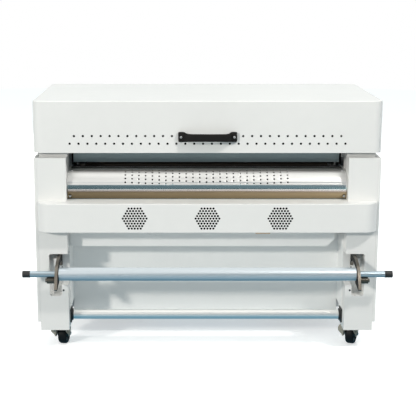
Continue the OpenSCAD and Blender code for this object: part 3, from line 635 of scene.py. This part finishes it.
a0 = -math.asin((DZ - 0.5382) / DR)
prof = []
for i in range(25):
    a = a0 + (math.radians(16) - a0) * i / 24
    prof.append((DY - (DR - 0.0016) * math.cos(a), DZ + (DR - 0.0016) * math.sin(a), -math.cos(a), math.sin(a)))
drum_low = sheet("drum_lower_sheet", prof, 0.0012, "drum_low")
prof = []
for i in range(48):
    t = i / 47
    deg = 12.6 + (90 - 12.6) * t
    a = math.radians(deg)
    r = DR - (0.0007 if 16.5 < deg < 19.5 else 0.0)
    prof.append((DY - r * math.cos(a), DZ + r * math.sin(a), -math.cos(a), math.sin(a)))
for k in range(1, 7):
    prof.append((DY + 0.0598 * k / 6, DZ + DR, 0, 1))
drum = sheet("drum_upper_sheet", prof, 0.0014, "drum")
# holes in rows that sag towards the middle
bm = bmesh.new()
for i in range(25):
    x = -0.280 + 0.02317 * i
    sag = 12.5 * (1 - abs(i - 12) / 12)
    for row in (21.8, 35.0, 48.5, 63.0, 77.5):
        if row - sag < 14.5:
            continue
        a = math.radians(row - sag)
        ny, nz = -math.cos(a), math.sin(a)
        c = Vector((x, DY + ny * DR, DZ + nz * DR))
        add_lathe(bm, [(0, -0.004), (0.0032, -0.004), (0.0032, 0.003), (0, 0.003)], c, (0, ny, nz), 12)
cut(drum, closed(bm, "punch"))
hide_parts("arc_guide_plate")
# black end seals of the oven's front edge
bm = bmesh.new()
for s in (-1, 1):
    x0, x1 = sorted((s * 0.4667, s * 0.4732))
    add_box(bm, x0, x1, FY + 0.1372, FY + 0.1396, 0.6405, 0.6862)
piece("oven_end_seals", bm, "root", "void", 0.0003)
# black glide strip on the flat behind the bend, held by a narrow steel clamp
bm = bmesh.new()
add_box(bm, -0.4700, 0.4700, DY + 0.0020, DY + 0.0245, DZ + DR + 0.0001, DZ + DR + 0.0009)
add_box(bm, -0.4700, 0.4700, DY + 0.0275, DY + 0.0590, DZ + DR + 0.0001, DZ + DR + 0.0009)
piece("glide_strip", bm, "root", "void", 0.0002)
bm = bmesh.new()
add_box(bm, -0.4700, 0.4700, DY + 0.0247, DY + 0.0273, DZ + DR + 0.0001, DZ + DR + 0.0012)
piece("glide_strip_clamp", bm, "root", "stainless", 0.0002)
# a backing bar along the sheet's lower edge
bm = bmesh.new()
add_box(bm, -0.4770, 0.4770, DY - 0.0450, DY - 0.0436, 0.5383, 0.5560)
piece("drum_backing_bar", bm, "root", "slate", 0.0004)
# a near-black sheet inside the drum behind its holes: painted shade of the drum's inside
bm = bmesh.new()
add_box(bm, -0.4700, 0.4700, FY + 0.0520, FY + 0.0540, 0.5560, 0.6260)
add_box(bm, -0.4700, 0.4700, FY + 0.0541, FY + 0.1200, 0.6240, 0.6260)
piece("drum_dark_baffle", bm, "root", "drum_hole_shade", 0.0004)

# ------------------------------------------------------------------ moulded hood handle
bm = bmesh.new()
half = [(0.0990, -0.0100, 0.0, 0.0138), (0.0982, -0.0126, 0.0, 0.0158), (0.0965, -0.0138, 0.0, 0.0168), (0.0930, -0.0140, 0.0, 0.0170),
        (0.0850, -0.0141, 0.0, 0.0170), (0.0810, -0.0155, 0.0, 0.0167), (0.0785, -0.0185, 0.0, 0.0162), (0.0765, -0.0225, -0.0040, 0.0156),
        (0.0740, -0.0270, -0.0110, 0.0149), (0.0710, -0.0315, -0.0170, 0.0142), (0.0670, -0.0350, -0.0215, 0.0136), (0.0610, -0.0372, -0.0242, 0.0132),
        (0.0530, -0.0379, -0.0250, 0.0130), (0.0300, -0.0380, -0.0252, 0.0129), (0.0, -0.0380, -0.0252, 0.0128)]
st = [(-x, a, b, h) for x, a, b, h in half[:-1]] + [half[-1]] + [h for h in reversed(half[:-1])]
loops = []
m = 28
for x, yf, yb, h in st:
    lp = []
    cy, hy = (yf + yb) / 2, (yb - yf) / 2
    for i in range(m):
        a = 2 * math.pi * i / m
        c, s = math.cos(a), math.sin(a)
        p = 2.0 / 3.6
        lp.append((x, FY + cy + hy * math.copysign(abs(c) ** p, c), 0.760 + h * math.copysign(abs(s) ** p, s)))
    loops.append(lp)
loft(bm, loops, True, True)
handle = piece("hood_grip", bm, "hood", "handle")
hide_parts("hood_handle")
bm = bmesh.new()
for x in (-0.0895, 0.0895):
    screw(bm, (x, FY - 0.0141, 0.760), (0, -1, 0), 0.0042, 0.0022, 0.0019)
piece("grip_screws", bm, "hood", "zinc")

# ------------------------------------------------------------------ fasteners and sheet-metal details
def screws(name, body, mat, items, r=0.0034, h=0.0020):
    bm = bmesh.new()
    for p, ax in items:
        screw(bm, p, ax, r, h, r * 0.45)
    return piece(name, bm, body, mat)

def mm(x, yb, z):
    return (x / 1000, FY + yb / 1000, z / 1000)

its = []
for s in (-1, 1):
    for z in (125, 300, 480, 660):
        for y in (24, 574):
            its.append((mm(s * 589, y, z), (s, 0, 0)))
screws("side_cover_screws", "root", "zinc", [(p, a) for p, a in its])
# pressed louvre lips over the side covers' slots
lip = [(0.0, 5.9), (1.2, 5.6), (2.3, 4.4), (2.9, 2.4), (3.0, 0.6), (2.3, 0.6), (2.2, 2.2), (1.7, 3.7), (0.7, 4.8), (0.0, 5.0)]
cap_l = [(0.0, 5.9), (1.2, 5.6), (2.3, 4.4), (2.9, 2.4), (3.0, 0.6), (0.0, 0.6)]
bm = bmesh.new()
for s in (-1, 1):
    for i in range(8):
        z = (180 + 16 * i) / 1000
        prism(bm, [(p[0] / 1000, p[1] / 1000) for p in lip], (s * 0.5889, FY + 0.330, z), (s, 0, 0), (0, 0, 1), (0, 1, 0), 0.140)
        for y in (0.3285, 0.4700):
            prism(bm, [(p[0] / 1000, p[1] / 1000) for p in cap_l], (s * 0.5889, FY + y, z), (s, 0, 0), (0, 0, 1), (0, 1, 0), 0.0015)
piece("louvre_lips", bm, "root", "white", 0.0003)

screws("column_bolts", "root", "bolt", [(mm(s * 497, 0, 222), (0, -1, 0)) for s in (-1, 1)], 0.0034, 0.0022)

# cradle arm bolts through the claw plates
bm = bmesh.new()
for s in (-1, 1):
    for yb, z in ((30, 296), (30, 322)):
        add_lathe(bm, [(0, 0), (0.0045, 0), (0.0045, 0.0028), (0.0036, 0.0034), (0, 0.0034)], mm(s * 505, yb, z), (-s, 0, 0), 6)
    add_lathe(bm, [(0, 0), (0.0048, 0), (0.0048, 0.0010), (0.0042, 0.0014), (0, 0.0014)], mm(s * 505, -78, 280.15), (-s, 0, 0), 6)
piece("cradle_bolts", bm, "root", "bolt")

claw = [(54, 343), (0, 343), (-30, 341), (-54, 335.5), (-74, 327), (-89, 316), (-100.5, 303.5), (-109.5, 289.5), (-117.5, 275), (-123.8, 261.5),
        (-122.5, 259.5), (-112, 258.8), (-96, 263.5), (-80, 265.5), (-64, 266.5), (-55.5, 273.5), (-54.6, 286)]
claw_b = [(-57.5, 316), (-41, 323.5), (-10, 326.6), (20, 324.6), (41, 314.2), (54, 300)]
rodc = [(-78 + 13.5 * math.cos(math.radians(t)), 302 + 13.5 * math.sin(math.radians(t))) for t in range(-40, 321, 12)]
# near-black sheets on the claws' inboard faces: painted shade
bm = bmesh.new()
for s in (-1, 1):
    # the plate is cut in two at the rod's notch
    low = claw[7:17] + [(-66, 289.5), (-78, 287.4), (-90, 292.0)]
    top = claw[0:7] + [(-92.6, 301.0), (-90.5, 308.5), (-84, 315.0), (-72, 316.5)] + claw_b
    for pts in (top, low):
        prism(bm, [(p[0] / 1000, p[1] / 1000) for p in pts], (s * 0.5050, FY, 0), (0, 1, 0), (0, 0, 1), (-s, 0, 0), 0.0008)
piece("cradle_inboard_shade_plates", bm, "root", "claw_shade", 0.0002)

# take-up tube's end plugs
bm = bmesh.new()
for s in (-1, 1):
    add_lathe(bm, [(0.0107, -0.001), (0.0222, -0.001), (0.0222, 0.0006), (0.0212, 0.0012), (0.0120, 0.0012), (0.0108, 0.0004)], mm(s * 502, -78, 302), (s, 0, 0), 48)
piece("tube_end_plugs", bm, "take_up", "black", 0.0)

# ------------------------------------------------------------------ casters
def caster_visual(code, sx, y, yaw):
    a = math.radians(yaw)
    R = Matrix.Rotation(a, 4, "Z")
    O = Vector(mm(sx * 512, y, 0))
    ax = (R @ Vector((1, 0, 0)))
    wc = O + R @ Vector((0, 0.028, 0.0375))
    # tyre and hub
    bm = bmesh.new()
    body = [(0.0260, -0.0128), (0.0300, -0.0144), (0.0330, -0.0148)] + [(0.0375 - 0.0042 * (abs(h) / 0.0148) ** 4, h) for h in [0.0146 * math.sin(math.radians(-88 + 176 * i / 18)) for i in range(19)]] + [(0.0330, 0.0148), (0.0300, 0.0144), (0.0260, 0.0128)]
    add_lathe(bm, body + [body[0]], wc, ax, 72)
    tyre = piece("tyre_" + code, bm, "wheel_" + code, "tyre")
    bm = bmesh.new()
    hub = [(0.0045, -0.0146), (0.0085, -0.0146), (0.0100, -0.0120), (0.0115, -0.0085), (0.0215, -0.0085), (0.0240, -0.0120), (0.0262, -0.0132),
           (0.0262, 0.0132), (0.0240, 0.0120), (0.0215, 0.0085), (0.0115, 0.0085), (0.0100, 0.0120), (0.0085, 0.0146), (0.0045, 0.0146)]
    add_lathe(bm, hub + [hub[0]], wc, ax, 48)
    for k in range(6):
        t = 2 * math.pi * k / 6
        u = (R @ Vector((0, 1, 0)))
        d = u * math.cos(t) + Vector((0, 0, 1)) * math.sin(t)
        p = -u * math.sin(t) + Vector((0, 0, 1)) * math.cos(t)
        vs = []
        for r0 in (0.0095, 0.0225):
            for w in (-0.0014, 0.0014):
                for h in (-0.0118, 0.0118):
                    vs.append(bm.verts.new(wc + d * r0 + p * w + ax * h))
        for f in ((0, 1, 3, 2), (4, 6, 7, 5), (0, 4, 5, 1), (2, 3, 7, 6), (0, 2, 6, 4), (1, 5, 7, 3)):
            bm.faces.new([vs[i] for i in f])
    hubo = piece("hub_" + code, bm, "wheel_" + code, "black")
    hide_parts("caster_wheel_" + code)
    # ball race and dust ring over the fork, riding on it
    bm = bmesh.new()
    add_lathe(bm, [(0.0062, 0.1018), (0.0215, 0.1018), (0.0240, 0.0990), (0.0245, 0.0955), (0.0232, 0.0940), (0.0205, 0.0938), (0.0205, 0.0905),
                   (0.0062, 0.0905), (0.0062, 0.1018)], O, (0, 0, 1), 48)
    piece("race_" + code, bm, "fork_" + code, "caster")
    # axle nut and bolt head, just outside the fork's cheeks
    bm = bmesh.new()
    for s in (-1, 1):
        add_lathe(bm, [(0, 0.0210), (0.0064, 0.0210), (0.0064, 0.0246), (0.0052, 0.0252), (0.0030, 0.0252), (0.0028, 0.0262), (0, 0.0264)], wc, ax * s, 6 if s > 0 else 24)
    piece("axle_nut_" + code, bm, "fork_" + code, "zinc")
for code, sx, y, yaw in (("fl", -1, 60, -8), ("fr", 1, 60, -22), ("rl", -1, 820, 12), ("rr", 1, 820, -20)):
    caster_visual(code, sx, y, yaw)

# stamped shoulders beside the front forks, which carry the brake's spring
for code, sx, yaw in (("fl", -1, -8), ("fr", 1, -22)):
    R = Matrix.Rotation(math.radians(yaw), 4, "Z")
    O = Vector(mm(sx * 512, 60, 0))
    bm = bmesh.new()
    out = [(-0.0215, 0.0755), (-0.0330, 0.0750), (-0.0395, 0.0700), (-0.0420, 0.0620), (-0.0405, 0.0530), (-0.0350, 0.0465), (-0.0290, 0.0420), (-0.0255, 0.0350), (-0.0215, 0.0330)]
    prism(bm, out, O + R @ Vector((0, -0.0060, 0)), R @ Vector((1, 0, 0)), (0, 0, 1), R @ Vector((0, 1, 0)), 0.0180)
    rib = [(-0.0215, 0.0700), (-0.0300, 0.0695), (-0.0350, 0.0620), (-0.0320, 0.0540), (-0.0215, 0.0500)]
    prism(bm, rib, O + R @ Vector((0, -0.0078, 0)), R @ Vector((1, 0, 0)), (0, 0, 1), R @ Vector((0, 1, 0)), 0.0017)
    prism(bm, [(0.0215, 0.0755), (0.0285, 0.0740), (0.0310, 0.0650), (0.0290, 0.0520), (0.0215, 0.0460)], O + R @ Vector((0, -0.0040, 0)), R @ Vector((1, 0, 0)), (0, 0, 1), R @ Vector((0, 1, 0)), 0.0140)
    piece("fork_shoulder_" + code, bm, "fork_" + code, "caster", 0.0016, 2)
its = []
for sx in (-1, 1):
    for y in (60, 820):
        for dx in (-21, 21):
            for dy in (-21, 21):
                its.append((mm(sx * 512 + dx, y + dy, 102), (0, 0, -1)))
screws("caster_plate_screws", "root", "zinc", its, 0.0036, 0.0020)

# ------------------------------------------------------------------ powder section
its = []
for s in (-1, 1):
    for y, z in ((615, 125), (615, 400), (615, 640), (872, 125), (872, 400), (872, 600), (690, 728), (826, 728)):
        its.append((mm(s * 589, y, z), (s, 0, 0)))
screws("powder_side_screws", "root", "zinc", its)
its = []
for x in (-560, -190, 190, 560):
    for z in (120, 596):
        its.append((mm(x, 886, z), (0, 1, 0)))
screws("rear_panel_screws", "root", "zinc", its)
# collar flange rivets
its = []
for k in range(6):
    t = math.radians(60 * k + 30)
    its.append((mm(260 + 57.5 * math.cos(t), 888.2, 215 + 57.5 * math.sin(t)), (0, 1, 0)))
screws("collar_rivets", "root", "zinc", its, 0.0028, 0.0016)
# hose bead rolled into the duct collar
bm = bmesh.new()
add_lathe(bm, [(0.0490, 0.0250), (0.0499, 0.0256), (0.0499, 0.0300), (0.0490, 0.0306)], mm(260, 890, 215), (0, 1, 0), 64)
piece("collar_bead", bm, "root", "zinc")

# screws of the base hinge leaves
its_h, its_b = [], []
for s in (-1, 1):
    for dx in (-24, 0, 24):
        its_b.append((mm(s * 350 + dx, 603, 655), (0, 1, 0)))
screws("base_hinge_screws", "root", "zinc", its_b, 0.003, 0.0016)

# control panel: three controllers with their keys and readings
SEG = {0: "abcdef", 1: "bc", 2: "abged", 3: "abgcd", 4: "fgbc", 5: "afgcd", 6: "afgedc", 7: "abc", 8: "abcdefg"}
SEGXY = {"a": (0, 1, 1), "b": (0.5, 0.5, 0), "c": (0.5, -0.5, 0), "d": (0, -1, 1), "e": (-0.5, -0.5, 0), "f": (-0.5, 0.5, 0), "g": (0, 0, 1)}
for i, digits in enumerate(((1, 2, 5), (1, 1, 0), (0, 4, 5))):
    c = 684 + 62 * i
    bm = bmesh.new()
    add_box(bm, 0.60305, 0.60385, FY + (c - 21.6) / 1000, FY + (c + 21.6) / 1000, 0.5604, 0.6036)
    piece("display_%d" % i, bm, "root", "glass", 0.0003)
    bm = bmesh.new()
    for k in range(4):
        yb = c - 15 + 8 * k
        add_box(bm, 0.6038, 0.6046, FY + yb / 1000, FY + (yb + 5.4) / 1000, 0.5650, 0.5695)
    piece("display_keys_%d" % i, bm, "root", "rubber", 0.0004)
    bm = bmesh.new()
    for k, d in enumerate(digits):
        yc, zc, w, h = c - 11 + 11 * k, 587.0, 5.4, 5.2
        for sname in SEG[d]:
            sx, sz, flat = SEGXY[sname]
            y, z = yc + sx * w, zc + sz * h
            hy, hz = (w / 2 - 0.5, 0.55) if flat else (0.55, h / 2 - 0.5)
            add_box(bm, 0.60384, 0.60396, FY + (y - hy) / 1000, FY + (y + hy) / 1000, (z - hz) / 1000, (z + hz) / 1000)
    piece("display_digits_%d" % i, bm, "root", "digit")
its = [(mm(604, yb, z), (1, 0, 0)) for yb in (647, 843) for z in (437, 633)]
screws("control_panel_screws", "root", "zinc", its, 0.0032, 0.0018)

# ------------------------------------------------------------------ the rounded mushroom head of the stop button
bm = bmesh.new()
add_lathe(bm, [(0.0, 0.5970 - 0.597), (0.0079, 0.0), (0.0079, 0.0142), (0.0150, 0.0142), (0.0168, 0.0150), (0.0179, 0.0172), (0.0180, 0.0215),
               (0.0172, 0.0245), (0.0150, 0.0268), (0.0110, 0.0282), (0.0060, 0.0289), (0.0, 0.0290)], mm(597, 690, 475), (1, 0, 0), 48)
stop = piece("stop_mushroom", bm, "estop", "red")
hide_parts("estop_button")
